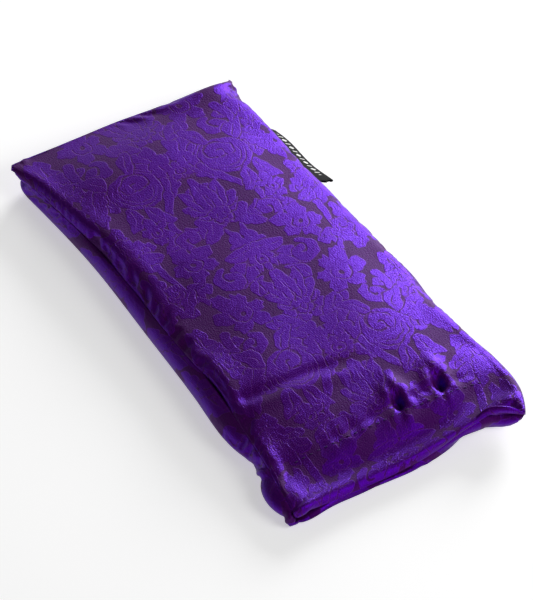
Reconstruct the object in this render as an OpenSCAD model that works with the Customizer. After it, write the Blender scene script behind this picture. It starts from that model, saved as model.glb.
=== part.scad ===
// Eye pillow: a satin slip cover, open at one end, round a sewn pouch of flax seed and lavender.
// X runs along the pillow, from the closed end to the mouth. Y runs across it, towards the side
// with the label. The underside rests on z = 0, and the origin is the middle of that face.

/* [Cover] */
// Length of the cover, closed end to mouth
cover_l = 230; // [215:1:245]
// Width of the cover across its side seams
cover_w = 108; // [100:1:116]
// Height of the cover at its crown
cover_h = 20; // [19:0.5:24]
// Height of the side seams above the surface it rests on
seam_z = 9.5; // [8:0.5:10.5]
// Thickness of one layer of satin
satin_t = 0.6; // [0.5:0.1:0.7]
// Width of the doubled hem at the mouth
hem_w = 34; // [18:1:36]

/* [Pouch] */
// Length of the pouch
pouch_l = 194; // [180:1:200]
// Width of the pouch
pouch_w = 92; // [84:1:94]
// Thickness of the pouch cotton
cotton_t = 0.5; // [0.4:0.1:0.6]
// Number of loose flax seeds along and across the top of the fill
seed_grid = [9, 5]; // [3:1:12]
// Number of lavender buds in each row between two rows of seeds
buds_in_row = 6; // [2:1:8]

/* [Label] */
// Length of the woven label along the side seam
label_l = 39; // [30:1:45]
// How far the folded label stands out of the seam
label_reach = 8; // [7:0.5:14]
// Distance from the closed end to the label's middle
label_from_end = 51; // [40:1:90]
// Tilt of the label from the horizontal, upwards, in degrees
label_tilt = -18; // [-30:1:25]

/* [Stitches] */
// Length of one stitch
stitch_l = 2.2; // [1.8:0.1:2.4]
// Distance from one stitch to the next
stitch_pitch = 3.2; // [3:0.1:4]
// Thickness of the thread
thread_t = 0.35; // [0.3:0.05:0.45]

/* [Hidden] */

satin = "indigo";
satin_thread = "rebeccapurple";
ribbon = "black";
motif_thread = "white";
cotton = "ivory";
cotton_thread = "linen";
flax = "saddlebrown";
lavender = "mediumpurple";

// Plan of the cover and of the pouch inside it
cover_x0 = -cover_l / 2;
cover_x1 = cover_l / 2;
cover_b = cover_w / 2;
pouch_x0 = cover_x0 + 9;
pouch_x1 = pouch_x0 + pouch_l;
pouch_b = pouch_w / 2;

// Rises of the domes above the seams, and drops of the bowls below them
cover_rise = cover_h - seam_z;
pouch_gap = 0.8;                                   // air between the pouch and the hem or floor of the cover
pouch_rise = cover_rise - 2 * satin_t - pouch_gap;
pouch_drop = seam_z - 2 * satin_t - pouch_gap;
fill_gap = 0.3;                                    // between the fill and the cotton
loose_layer = 3.2;                                 // depth of the loose seeds above the packed fill
cover_end_r = 45;                                  // length over which a closed end of the cover swells
pouch_end_r = 38;
bowl_swell = 1.3;                                  // above 1, a bowl's bottom is cut off flat
allowance = 6;                                     // width of the seam allowance turned inside
seam_wall = 1.2;                                   // width of the panel's edge where it meets the seam
row_in = 3;                                        // distance from a seam to its row of stitches
row_end = 2;                                       // clear space between a row's ends and the rows beside it
mouth_end = 4;                                     // distance from the mouth to the end of a side seam's row
hem_end = 10;                                      // distance from a side seam to the end of a hem's row
closing_rows = 1.8;                                // distance between the two rows that close the pouch
past = 2;                                          // how far a cutting shape runs past a face

// ---- Outlines of the stuffed shapes ----

// Share of the full height at a distance s inside an end that swells over the length r
function end_swell(s, r) = r == 0 || s >= r ? 1 : pow(1 - pow(1 - max(s, 0) / r, 2.3), 0.48);
// Share of the full height at y across a width of 2 b
function side_swell(y, b) = pow(max(0, 1 - pow(min(1, abs(y) / b), 2.6)), 0.55);
function swell(x, y, x0, x1, b, r0, r1) =
    end_swell(x - x0, r0) * end_swell(x1 - x, r1) * side_swell(y, b);
// Height of a dome at a point
function dome_z(x, y, x0, x1, b, rise, r0, r1, k = 1) = rise * min(1, k * swell(x, y, x0, x1, b, r0, r1));

// Stations along X, closer together where an end swells
function stations(x0, x1, r0, r1, n = 6, step = 24) =
    let(straight = x1 - r1 - x0 - r0, m = ceil(straight / step))
    concat(
        r0 == 0 ? [] : [for (i = [0:n - 1]) x0 + r0 * (1 - cos(90 * i / n))],
        [for (i = [0:m]) x0 + r0 + straight * i / m],
        r1 == 0 ? [] : [for (i = [n - 1:-1:0]) x1 - r1 * (1 - cos(90 * i / n))]
    );

// A stuffed half shape: flat at z = 0 and domed above it, from x0 to x1 and 2 b wide.
// An end whose r is 0 is left upright and open for a cut.
module dome(x0, x1, b, rise, r0, r1, k = 1, across = 14) {
    xs = stations(x0, x1, r0, r1);
    ys = [for (j = [0:across]) -b * cos(180 * j / across)];
    nx = len(xs) - 1;
    row = across + 1;
    points = [for (x = xs, y = ys) [x, y, dome_z(x, y, x0, x1, b, rise, r0, r1, k)]];
    skin = [for (i = [0:nx - 1], j = [0:across - 1])
        let(a = i * row + j)
        each [[a, a + 1, a + row + 1], [a, a + row + 1, a + row]]];
    last = nx * row;
    // The base runs along an end's whole row where the end is closed, and corner to corner where it is open
    base = concat(
        r0 == 0 ? [across, 0] : [for (j = [across:-1:0]) j],
        [for (i = [1:nx - 1]) i * row],
        r1 == 0 ? [last, last + across] : [for (j = [0:across]) last + j],
        [for (i = [nx - 1:-1:1]) i * row + across]
    );
    ends = concat(
        r0 == 0 ? [[for (j = [across:-1:0]) j]] : [],
        r1 == 0 ? [[for (j = [0:across]) last + j]] : []
    );
    polyhedron(points, concat(skin, ends, [base]), convexity = 6);
}

// The doubled edge of a panel where it is turned inside along a seam
module seam_allowances(x0, x1, b, t, open_end) {
    for (side = [-1, 1])
        translate([x0, side > 0 ? b - allowance : -b, 0])
            cube([x1 - x0, allowance, t]);
    translate([x0, -b, 0]) cube([allowance, 2 * b, t]);
    if (!open_end)
        translate([x1 - allowance, -b, 0]) cube([allowance, 2 * b, t]);
}

// Flat facets leave a rounded shape slightly short, so a finished shape is brought to its stated size
module to_size(l, w, h) {
    resize([l, w, h]) children();
}

// ---- Stitches ----

// One stitch: a bar of thread along X on the cloth, with both ends turned down through it
module stitch(depth) {
    half = stitch_l / 2;
    rotate([90, 0, 0])
        linear_extrude(thread_t, center = true)
            polygon([
                [-half, -depth], [-half + thread_t, -depth], [-half + thread_t, 0], [half - thread_t, 0],
                [half - thread_t, -depth], [half, -depth], [half, thread_t], [-half, thread_t]
            ]);
}

// A straight row of stitches along X, on cloth at z = 0
module stitch_row(x0, x1, depth) {
    n = floor((x1 - x0 - stitch_l) / stitch_pitch);
    start = (x0 + x1 - n * stitch_pitch) / 2;
    for (i = [0:n])
        translate([start + i * stitch_pitch, 0, 0])
            stitch(depth);
}

// A row of children across the open end of a dome or bowl, each laid along the slope of the cloth
module arch_row(x, b, rise, k) {
    reach = b - hem_end;
    n = floor(2 * reach / stitch_pitch);
    for (i = [0:n]) {
        y = -reach + 2 * reach * i / n;
        z0 = rise * min(1, k * side_swell(y - 1, b));
        z1 = rise * min(1, k * side_swell(y + 1, b));
        translate([x, y, (z0 + z1) / 2])
            rotate([atan2(z1 - z0, 2), 0, 0])
                rotate([0, 0, 90])
                    children();
    }
}

// ---- Cover ----

module cover_cavity(rise, k) {
    difference() {
        union() {
            dome(cover_x0 + seam_wall, cover_x1 + past, cover_b - seam_wall, rise - 2 * satin_t,
                 cover_end_r - seam_wall, 0, k);
            intersection() {
                dome(cover_x0 + seam_wall, cover_x1 + past, cover_b - seam_wall, rise - satin_t,
                     cover_end_r - seam_wall, 0, k);
                translate([cover_x0, -cover_b, 0])
                    cube([cover_l - hem_w, cover_w, cover_h]);
            }
        }
        seam_allowances(cover_x0, cover_x1 + past, cover_b, satin_t, true);
    }
}

module cover_panel(rise, k) {
    to_size(cover_l, cover_w, rise)
        difference() {
            dome(cover_x0, cover_x1, cover_b, rise, cover_end_r, 0, k);
            cover_cavity(rise, k);
        }
}

module cover_top_panel() {
    color(satin) translate([0, 0, seam_z]) cover_panel(cover_rise, 1);
}

module cover_bottom_panel() {
    color(satin) translate([0, 0, seam_z]) mirror([0, 0, 1]) cover_panel(seam_z, bowl_swell);
}

// A side seam's stitches hold the two seam allowances together inside the cover
module side_seam(side) {
    color(satin_thread)
        translate([0, side * (cover_b - row_in), seam_z + satin_t])
            stitch_row(cover_x0 + allowance, cover_x1 - mouth_end, 2 * satin_t);
}

module label_side_seam() side_seam(1);

module plain_side_seam() side_seam(-1);

module closed_end_seam() {
    color(satin_thread)
        translate([cover_x0 + row_in, 0, seam_z + satin_t])
            rotate([0, 0, 90])
                stitch_row(-cover_b + allowance + row_end, cover_b - allowance - row_end, 2 * satin_t);
}

module top_hem_stitching() {
    color(satin_thread)
        translate([0, 0, seam_z])
            arch_row(cover_x1 - hem_w + row_in, cover_b, cover_rise, 1)
                stitch(satin_t);
}

module bottom_hem_stitching() {
    // The bottom row lies inside the cover, on the doubled cloth, clear of the surface below
    color(satin_thread)
        translate([0, 0, seam_z])
            mirror([0, 0, 1])
                translate([0, 0, -2 * satin_t - thread_t])
                    arch_row(cover_x1 - hem_w + row_in, cover_b, seam_z, bowl_swell)
                        translate([-stitch_l / 2, -thread_t / 2, 0])
                            cube([stitch_l, thread_t, thread_t]);
}

// ---- Label ----

label_ply = 0.3;                                   // thickness of the ribbon
label_bend = 0.6;                                  // outer radius of its fold
label_root = 0.7;                                  // gap between the seam and the label's edge
label_x = cover_x0 + label_from_end;
lozenge_pitch = 3.6;
motif_margin = 4;                                  // plain ribbon left at each end of the motif
motif_t = 0.12;                                    // how far the woven motif stands up

// Places its children on the label: X along the seam, Y out from the seam, Z out of its upper face
module on_label() {
    translate([label_x, cover_b + label_root, seam_z])
        rotate([label_tilt, 0, 0])
            children();
}

// The ribbon folded in half, seen along the seam
module label_profile() {
    flat = label_reach - label_root - label_bend;
    difference() {
        union() {
            translate([0, -label_bend]) square([flat, 2 * label_bend]);
            translate([flat, 0]) circle(label_bend, $fn = 24);
        }
        translate([-past, label_ply - label_bend]) square([flat + past, 2 * (label_bend - label_ply)]);
        translate([flat, 0]) circle(label_bend - label_ply, $fn = 24);
    }
}

module side_label() {
    color(ribbon)
        on_label()
            rotate([90, 0, 90])
                linear_extrude(label_l, center = true)
                    label_profile();
}

// A woven border of lozenges and bars along the upper face
module label_motif() {
    n = floor((label_l - 2 * motif_margin) / lozenge_pitch);
    mid = (label_reach - label_root) / 2;
    color(motif_thread)
        on_label()
            translate([0, mid, label_bend])
                for (i = [0:n]) {
                    x = (i - n / 2) * lozenge_pitch;
                    translate([x, 0, 0])
                        linear_extrude(motif_t)
                            if (i % 2 == 0)
                                polygon([[-1.3, 0], [0, -1.7], [1.3, 0], [0, 1.7]]);
                            else
                                square([0.7, 3], center = true);
                }
}

// ---- Pouch ----

module pouch_panel(rise, k) {
    to_size(pouch_l, pouch_w, rise)
        difference() {
            dome(pouch_x0, pouch_x1, pouch_b, rise, pouch_end_r, pouch_end_r, k);
            difference() {
                dome(pouch_x0 + seam_wall, pouch_x1 - seam_wall, pouch_b - seam_wall, rise - cotton_t,
                     pouch_end_r - seam_wall, pouch_end_r - seam_wall, k);
                seam_allowances(pouch_x0, pouch_x1, pouch_b, cotton_t, false);
            }
        }
}

module pouch_top_panel() {
    color(cotton) translate([0, 0, seam_z]) pouch_panel(pouch_rise, 1);
}

module pouch_bottom_panel() {
    color(cotton) translate([0, 0, seam_z]) mirror([0, 0, 1]) pouch_panel(pouch_drop, bowl_swell);
}

// Two long sides and the end sewn before filling
module pouch_seam() {
    color(cotton_thread) {
        for (side = [-1, 1])
            translate([0, side * (pouch_b - row_in), seam_z + cotton_t])
                stitch_row(pouch_x0 + allowance, pouch_x1 - allowance, 2 * cotton_t);
        translate([pouch_x0 + row_in, 0, seam_z + cotton_t])
            rotate([0, 0, 90])
                stitch_row(-pouch_b + allowance + row_end, pouch_b - allowance - row_end, 2 * cotton_t);
    }
}

// The end sewn shut once the pouch is filled, with two rows
module pouch_closing_seam() {
    color(cotton_thread)
        for (inset = [row_in - closing_rows / 2, row_in + closing_rows / 2])
            translate([pouch_x1 - inset, 0, seam_z + cotton_t])
                rotate([0, 0, 90])
                    stitch_row(-pouch_b + allowance + row_end, pouch_b - allowance - row_end, 2 * cotton_t);
}

// ---- Filling ----

fill_inset = allowance + fill_gap;
fill_x0 = pouch_x0 + fill_inset;
fill_x1 = pouch_x1 - fill_inset;
fill_b = pouch_b - fill_inset;
fill_rise = pouch_rise - cotton_t - loose_layer;
fill_drop = pouch_drop - cotton_t - fill_gap;
fill_end_r = pouch_end_r - fill_inset;

// The packed seed, as one settled mass
module flax_seed_fill() {
    color(flax)
        translate([0, 0, seam_z - fill_drop])
            to_size(fill_x1 - fill_x0, 2 * fill_b, fill_drop + fill_rise)
                translate([0, 0, fill_drop]) {
                    dome(fill_x0, fill_x1, fill_b, fill_rise, fill_end_r, fill_end_r);
                    mirror([0, 0, 1])
                        dome(fill_x0, fill_x1, fill_b, fill_drop, fill_end_r, fill_end_r, bowl_swell);
                }
}

// A seed or bud: a spindle lying along X
module spindle(half_l, r) {
    hull()
        rotate([0, 90, 0])
            rotate_extrude($fn = 8)
                polygon([
                    [0, -half_l], [0.7 * r, -0.6 * half_l], [r, 0.1 * half_l], [0.75 * r, 0.7 * half_l], [0, half_l]
                ]);
}

loose_span = [124, 54];                            // how far the loose seeds are spread along X and Y
seed_size = [2.2, 0.85];                           // half length and radius of a flax seed
bud_size = [2.6, 0.95];                            // the same for a lavender bud
loose_lift = 0.45;                                 // air between the packed fill and a loose seed or bud
seed_turn = 67;                                    // turn from one seed to the next, in degrees
bud_turn = 41;
row_pitch = loose_span[1] / seed_grid[1];

// Spreads its children over the packed fill in staggered rows, each child turned by a step of its own
module scatter(in_row, rows, lift, turn) {
    for (i = [0:in_row - 1], j = [0:rows - 1]) {
        x = (fill_x0 + fill_x1) / 2 + loose_span[0] * ((i + 0.5 * (j % 2)) / (in_row - 0.5) - 0.5);
        y = row_pitch * (j - (rows - 1) / 2);
        z = seam_z + dome_z(x, y, fill_x0, fill_x1, fill_b, fill_rise, fill_end_r, fill_end_r);
        translate([x, y, z + lift])
            rotate([0, 0, turn * (i * rows + j)])
                children();
    }
}

module loose_flax_seeds() {
    color(flax)
        scatter(seed_grid[0], seed_grid[1], seed_size[1] + loose_lift, seed_turn)
            spindle(seed_size[0], seed_size[1]);
}

module lavender_buds() {
    color(lavender)
        scatter(buds_in_row, seed_grid[1] - 1, bud_size[1] + loose_lift, bud_turn)
            spindle(bud_size[0], bud_size[1]);
}

cover_top_panel();
cover_bottom_panel();
label_side_seam();
plain_side_seam();
closed_end_seam();
top_hem_stitching();
bottom_hem_stitching();
side_label();
label_motif();
pouch_top_panel();
pouch_bottom_panel();
pouch_seam();
pouch_closing_seam();
flax_seed_fill();
loose_flax_seeds();
lavender_buds();
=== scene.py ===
"""Eye pillow: a damask satin slip cover, open at one end, round a sewn pouch of flax seed."""

import math

import bpy
import numpy as np
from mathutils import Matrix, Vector


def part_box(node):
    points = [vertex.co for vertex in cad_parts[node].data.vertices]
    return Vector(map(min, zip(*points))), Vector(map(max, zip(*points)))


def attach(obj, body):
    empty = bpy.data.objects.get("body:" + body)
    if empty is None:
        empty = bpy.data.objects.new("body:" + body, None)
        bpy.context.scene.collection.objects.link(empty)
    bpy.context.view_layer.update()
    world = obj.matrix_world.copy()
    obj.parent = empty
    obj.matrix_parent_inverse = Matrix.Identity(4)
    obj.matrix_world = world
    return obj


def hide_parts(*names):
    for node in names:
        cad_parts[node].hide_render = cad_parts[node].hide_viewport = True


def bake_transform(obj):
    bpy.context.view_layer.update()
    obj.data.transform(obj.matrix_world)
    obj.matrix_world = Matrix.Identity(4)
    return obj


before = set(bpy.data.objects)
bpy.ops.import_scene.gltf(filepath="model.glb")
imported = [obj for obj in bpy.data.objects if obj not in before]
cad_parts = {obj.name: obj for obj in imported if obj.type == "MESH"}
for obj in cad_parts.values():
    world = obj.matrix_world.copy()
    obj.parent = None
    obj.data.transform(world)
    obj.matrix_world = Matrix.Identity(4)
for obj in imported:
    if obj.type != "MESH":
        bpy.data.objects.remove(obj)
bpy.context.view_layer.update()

MM = 0.001
RNG_SEED = 7

# ---- Sizes read from the frame, in millimetres ----

TOP_LOW, TOP_HIGH = (np.array(corner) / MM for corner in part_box("cover_top_panel"))
POUCH_LOW, POUCH_HIGH = (np.array(corner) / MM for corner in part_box("pouch_top_panel"))
CLOSED_X, MOUTH_X = TOP_LOW[0], TOP_HIGH[0]
HALF_W = TOP_HIGH[1]
SEAM_Z = TOP_LOW[2]
CROWN_Z = TOP_HIGH[2]
CLOTH_T = 0.6

# ---- Cloth of the cover, as cut: u runs along it from the closed end, v across it ----

CUT_L = 229.5
CUT_W = 111.5
TOP_WIDTH = 0.955
BOTTOM_WIDTH = 1.04
USUAL_HALF = 52.5
COARSE_STEP = 2.4
REFINE = 2
INNER_SKIP = 4


def wave_noise(x, y, length, seed, terms=9):
    """Smooth noise in about -1 to 1, from sine waves near one wavelength."""
    rng = np.random.default_rng(seed)
    total = np.zeros(np.broadcast(x, y).shape)
    for _ in range(terms):
        turn = rng.uniform(0, 2 * math.pi)
        size = length * rng.uniform(0.7, 1.6)
        phase = rng.uniform(0, 2 * math.pi)
        total = total + np.sin(2 * math.pi * (x * math.cos(turn) + y * math.sin(turn)) / size + phase)
    return total / math.sqrt(terms)


def smooth_step(x, low, high):
    t = np.clip((x - low) / (high - low), 0, 1)
    return t * t * (3 - 2 * t)


def through(points, x):
    """A smooth curve through (x, value) points."""
    xs, values = np.array(points, float).T
    slopes = np.gradient(values, xs)
    k = np.clip(np.searchsorted(xs, x) - 1, 0, len(xs) - 2)
    span = xs[k + 1] - xs[k]
    t = np.clip((x - xs[k]) / span, 0, 1)
    return (
        values[k] * (2 * t**3 - 3 * t**2 + 1)
        + values[k + 1] * (3 * t**2 - 2 * t**3)
        + span * (slopes[k] * (t**3 - 2 * t**2 + t) + slopes[k + 1] * (t**3 - t**2))
    )


# ---- The filling that the cloth lies on ----

# How far out each side of the pillow stands, as (X, distance from the middle line)
LABEL_SIDE = [(-115, 52.0), (-95, 50.3), (-60, 51.3), (-30, 53.0), (0, 55.5), (30, 57.2), (60, 58.2), (78, 62.4),
              (90, 63.0), (102, 60.4), (115, 55.6)]
PLAIN_SIDE = [(-115, 53.0), (-90, 50.8), (-60, 49.4), (-10, 51.0), (30, 52.8), (60, 55.5), (78, 55.0), (92, 58.2),
              (104, 59.0), (115, 55.0)]
# The crease of the plain side's seam, as (X, distance from the middle line) and (X, Z)
CREASE_Y = [(-115, 53.0), (-95, 50.2), (-60, 47.0), (0, 47.6), (44, 47.6), (64, 49.6), (82, 51.6), (95, 53.0),
            (115, 54.0)]
CREASE_Z = [(-115, 12.0), (-90, 12.0), (-60, 12.8), (0, 13.4), (50, 13.4), (80, 12.0), (95, 10.6), (115, 8.0)]

# The closed end's edge, as (v across the cloth, X)
CLOSED_EDGE_X = [(-57, -116.0), (-40, -116.0), (0, -115.0), (30, -112.6), (44, -111.0), (57, -112.8)]

FILL_X = -7.5
FILL_HALF_X = 107.5
FILL_Z = 7.2
FILL_DOWN = 6.8
FILL_UP = 12.2
FILL_POWER_FAR = 14.0
FILL_POWER_FAR_DOWN = 36.0
FILL_POWER_NEAR = 5.0
FILL_POWER_Y = 3.6
FILL_POWER_Y_DOWN = 6.0
FILL_POWER_UP = 2.1
FILL_POWER_DOWN = 3.5
STITCH_X = 84.0

# Cloth stuffed into the plain side's corner at the mouth: its middle and half sizes
CORNER_MIDDLE = (97.0, -49.0, 5.2)
CORNER_HALF = (14.5, 9.6, 5.6)


def fill_up(x, y):
    """Height of the filling above its middle, with its lumps and the hollow across it near the mouth."""
    lumps = 0.30 * wave_noise(x, y, 40, 11) + 0.10 * wave_noise(x, y, 17, 12)
    settled = 1.0 - 0.20 * smooth_step(x, 35, 95)
    settled = settled * (1 - 0.50 * np.clip(1 - (x + 115) / 42, 0, 1) ** 2.0)
    return FILL_UP * settled + lumps


def fill_sides(x):
    """The middle and the half width of the filling at each X."""
    high, low = through(LABEL_SIDE, x) - 0.6, -through(PLAIN_SIDE, x) - 0.5
    return (high + low) / 2, (high - low) / 2


def push_out_of_fill(p):
    """Moves points that are inside the filling to its surface."""
    x, y, z = p[..., 0], p[..., 1], p[..., 2]
    above = z > FILL_Z
    middle, half_y = fill_sides(x)
    halves = [FILL_HALF_X, half_y, np.where(above, fill_up(x, y), FILL_DOWN)]
    powers = [np.where(x < 0, np.where(above, FILL_POWER_FAR, FILL_POWER_FAR_DOWN), FILL_POWER_NEAR),
              np.where(above, FILL_POWER_Y, FILL_POWER_Y_DOWN), np.where(above, FILL_POWER_UP, FILL_POWER_DOWN)]
    s = [(x - FILL_X) / halves[0], (y - middle) / halves[1], (z - FILL_Z) / halves[2]]
    g = sum(np.abs(si) ** n for si, n in zip(s, powers)) - 1
    grad = [n * np.sign(si) * np.abs(si) ** (n - 1) / h for si, n, h in zip(s, powers, halves)]
    steep = sum(gi * gi for gi in grad) + 1e-6
    move = np.where(g < 0, np.clip(-g / steep, 0, 40), 0)
    for axis in range(3):
        p[..., axis] += np.clip(move * grad[axis], -1.0, 1.0)
    # The corner
    away = [(p[..., k] - CORNER_MIDDLE[k]) / CORNER_HALF[k] for k in range(3)]
    distance = np.sqrt(sum(a * a for a in away)) + 1e-6
    grow = np.where(distance < 1, np.minimum(1 / distance - 1, 0.15), 0)
    for k in range(3):
        p[..., k] += grow * away[k] * CORNER_HALF[k]


# ---- The mouth: where the two hems lie ----
# Each point is (v across the cloth, X, Z).

UPPER_LIP = [(-57, 108.5, 5.4), (-47, 110.5, 6.4), (-24, 110.5, 6.0), (0, 110.0, 5.6), (20, 107.0, 5.6),
             (34, 103.5, 7.0), (44, 104.0, 13.0), (51, 109.5, 14.0), (57, 114.0, 10.0)]
LOWER_LIP = [(-57, 108.5, 5.0), (-51, 108.5, 3.0), (-45, 110.5, 1.6), (-30, 108.0, 1.2), (-10, 109.0, 1.2),
             (6, 109.0, 1.4), (20, 106.4, 2.4), (34, 103.0, 3.6), (44, 103.8, 2.4), (51, 109.5, 4.0), (57, 114.0, 10.0)]
LIP_BULGE = 7.0


def lip_place(points, v, bulge=0.0):
    """Places along a lip. The bulge is how far out it swells near the plain side's corner."""
    table = np.array(points)
    x = through(table[:, :2], v)
    z = through(table[:, [0, 2]], v)
    y = v * HALF_W / (CUT_W / 2) - bulge * np.exp(-(((v + 46) / 12) ** 2)) * smooth_step(v, -56, -50)
    return np.stack([x, y, z], axis=-1)


# ---- Cloth simulation ----


class Cloth:
    """A tube of cloth on a grid: rows run along u, and columns run round it, the top first and then the bottom."""

    def __init__(self, rows, half_columns):
        self.rows, self.half = rows, half_columns
        self.columns = 2 * half_columns
        self.u = np.linspace(0, CUT_L, rows + 1)
        ring = np.arange(self.columns)
        self.top = ring <= half_columns
        ramp = ring / half_columns
        self.v = CUT_W * np.where(self.top, ramp - 0.5, 1.5 - ramp)
        self.mirror = (self.columns - ring) % self.columns

    def start(self):
        """A loose envelope round the filling."""
        u, v = np.meshgrid(self.u, self.v, indexing="ij")
        t = u / CUT_L
        x = CLOSED_X + t * (MOUTH_X - CLOSED_X)
        y = np.where(v > 0, through(LABEL_SIDE, x), through(PLAIN_SIDE, x)) * v / (CUT_W / 2)
        swell = (1 - np.abs(2 * v / CUT_W) ** 2.6) ** 0.5 * (1 - np.clip(1 - (x - CLOSED_X) / 40, 0, 1) ** 2.2) ** 0.5
        up = SEAM_Z + (CROWN_Z + 0.5 - SEAM_Z) * swell
        down = SEAM_Z - (SEAM_Z - 0.3) * np.minimum(1, 1.3 * swell)
        p = np.stack([x, y, np.where(self.top, up, down)], axis=-1)
        upper, lower = lip_place(UPPER_LIP, self.v), lip_place(LOWER_LIP, self.v, LIP_BULGE)
        lip = np.where(self.top[:, None], upper, lower)
        blend = smooth_step(u, CUT_L - 30, CUT_L)[..., None]
        return p * (1 - blend) + lip[None] * blend

    def rest_stretch(self):
        """How much longer than the grid the cloth is along u: it is gathered where it meets the side seams."""
        from_seam = CUT_W / 2 - np.abs(self.v)
        gather = 0.075 * np.exp(-((from_seam / 6.0) ** 2))
        return 1 + np.where(self.top, 0.35, 1.0) * gather


def ring_stretch(cloth):
    """How much wider than the grid each panel is: the bottom one wraps further round the filling."""
    x = CLOSED_X + cloth.u / CUT_L * (MOUTH_X - CLOSED_X)
    width = (fill_sides(x)[1] / USUAL_HALF) ** 0.4
    width = width + (1 - width) * smooth_step(cloth.u, CUT_L - 22, CUT_L - 4)
    return width[:, None] * np.where(cloth.top, TOP_WIDTH, BOTTOM_WIDTH)


def pull(p, a, b, rest, stiffness, weight):
    """One pass of distance constraints between index tuples a and b."""
    pa, pb = p[a], p[b]
    d = pb - pa
    length = np.sqrt(np.einsum("...k,...k->...", d, d)) + 1e-9
    wa, wb = weight[a], weight[b]
    share = stiffness * (length - rest) / (length * (wa + wb + 1e-9))
    p[a] = pa + d * (share * wa)[..., None]
    p[b] = pb - d * (share * wb)[..., None]


def constraint_passes(cloth, du, dv):
    """Index pairs with their rest lengths and stiffness, in passes that share no point."""
    rows = np.arange(cloth.rows + 1)
    ring = np.arange(cloth.columns)
    stretch = cloth.rest_stretch()
    passes = []

    def add(row_step, ring_step, stiffness, rest_of):
        r0 = rows[: cloth.rows + 1 - row_step]
        groups = 2
        period = 2 * max(abs(ring_step), 1)
        if row_step:
            for g in range(groups):
                r = r0[(r0 // row_step) % 2 == g]
                a = np.ix_(r, ring)
                b = np.ix_(r + row_step, (ring + ring_step) % cloth.columns)
                passes.append((a, b, rest_of(r, ring), stiffness))
        else:
            for g in range(2):
                c = ring[(ring % period) // abs(ring_step) == g]
                a = np.ix_(rows, c)
                b = np.ix_(rows, (c + ring_step) % cloth.columns)
                passes.append((a, b, rest_of(rows, c), stiffness))

    wide = ring_stretch(cloth)
    along = lambda r, c: du * stretch[None, c]
    around = lambda r, c: dv * wide[np.ix_(r, c)]
    diagonal = lambda r, c: np.hypot(along(r, c), around(r, c))
    add(1, 0, 1.0, along)
    add(0, 1, 1.0, around)
    add(1, 1, 0.35, diagonal)
    add(1, -1, 0.35, diagonal)
    add(2, 0, 0.45, lambda r, c: 2 * along(r, c))
    add(0, 2, 0.45, lambda r, c: 2 * around(r, c))
    add(4, 0, 0.12, lambda r, c: 4 * along(r, c))
    add(0, 4, 0.12, lambda r, c: 4 * around(r, c))
    return passes


def surface_normals(p):
    """Unit normals of the tube, outwards."""
    along = np.gradient(p, axis=0)
    around = np.roll(p, -1, axis=1) - np.roll(p, 1, axis=1)
    n = np.cross(along, around)
    return n / (np.linalg.norm(n, axis=-1, keepdims=True) + 1e-9)


def settle(cloth, p, steps, sweeps):
    """Lets the cloth settle on its filling and on the table."""
    du = CUT_L / cloth.rows
    dv = CUT_W / cloth.half
    passes = constraint_passes(cloth, du, dv)
    rows = cloth.rows + 1
    u = cloth.u

    # The side seams keep to their lines, which waver a little
    weight = np.ones((rows, cloth.columns))
    left = 0
    right = cloth.half
    seam_x = CLOSED_X + 1 + u / CUT_L * (MOUTH_X - 1.5 - CLOSED_X)
    seam_line = np.zeros((rows, 2, 3))
    waver = 0.4 * wave_noise(u, 0 * u, 26, 20)
    seam_line[:, 0] = np.stack([seam_x, -through(CREASE_Y, seam_x) - waver, through(CREASE_Z, seam_x) + waver], axis=-1)
    seam_line[:, 1] = np.stack([seam_x, through(LABEL_SIDE, seam_x) - 0.8 + waver, 9.6 + waver], axis=-1)
    across = cloth.v / (CUT_W / 2)
    ear = np.exp(-(((cloth.v - CUT_W / 2) / 9.0) ** 2))
    closed_edge = np.stack([
        through(CLOSED_EDGE_X, cloth.v) + 0.2 * wave_noise(cloth.v, 0 * cloth.v, 25, 40),
        np.where(cloth.v > 0, through(LABEL_SIDE, CLOSED_X), through(PLAIN_SIDE, CLOSED_X)) * across,
        12.2 - 2.6 * ear + 0.25 * wave_noise(cloth.v, 0 * cloth.v, 35, 41),
    ], axis=-1)
    mouth = np.where(cloth.top[:, None], lip_place(UPPER_LIP, cloth.v), lip_place(LOWER_LIP, cloth.v, LIP_BULGE))
    tail = smooth_step(u, CUT_L - 16, CUT_L)[:, None]
    for k, column in enumerate((left, right)):
        seam_line[:, k] = seam_line[:, k] * (1 - tail) + mouth[column] * tail

    weight[:, [left, right]] = 0
    weight[-1, :] = 0
    weight[0, :] = 0
    def hold():
        p[0] = closed_edge
        p[:, left] = seam_line[:, 0]
        p[:, right] = seam_line[:, 1]
        p[-1] = mouth

    hold()
    velocity = np.zeros_like(p)
    gravity = 0.012
    pressure = 0.010 * (1 - smooth_step(u, CUT_L - 42, CUT_L - 22))[:, None, None]
    flip = cloth.mirror
    for step in range(steps):
        before = p.copy()
        velocity[..., 2] -= gravity
        velocity += pressure * surface_normals(p)
        p += velocity * weight[..., None]
        for _ in range(sweeps):
            for a, b, rest, stiffness in passes:
                pull(p, a, b, rest, stiffness, weight)
            push_out_of_fill(p)
            hold()
            # Nothing goes below the table, and the top lip stays above the bottom one
            p[..., 2] = np.maximum(p[..., 2], 0.35)
            gap = 1.3 - (p[:, :, 2] - p[:, flip, 2])
            overlap = np.where(cloth.top[None] & (gap > 0) & (weight > 0), gap, 0)
            p[..., 2] += overlap / 2
        velocity = (p - before) * 0.93
    return p


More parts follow.
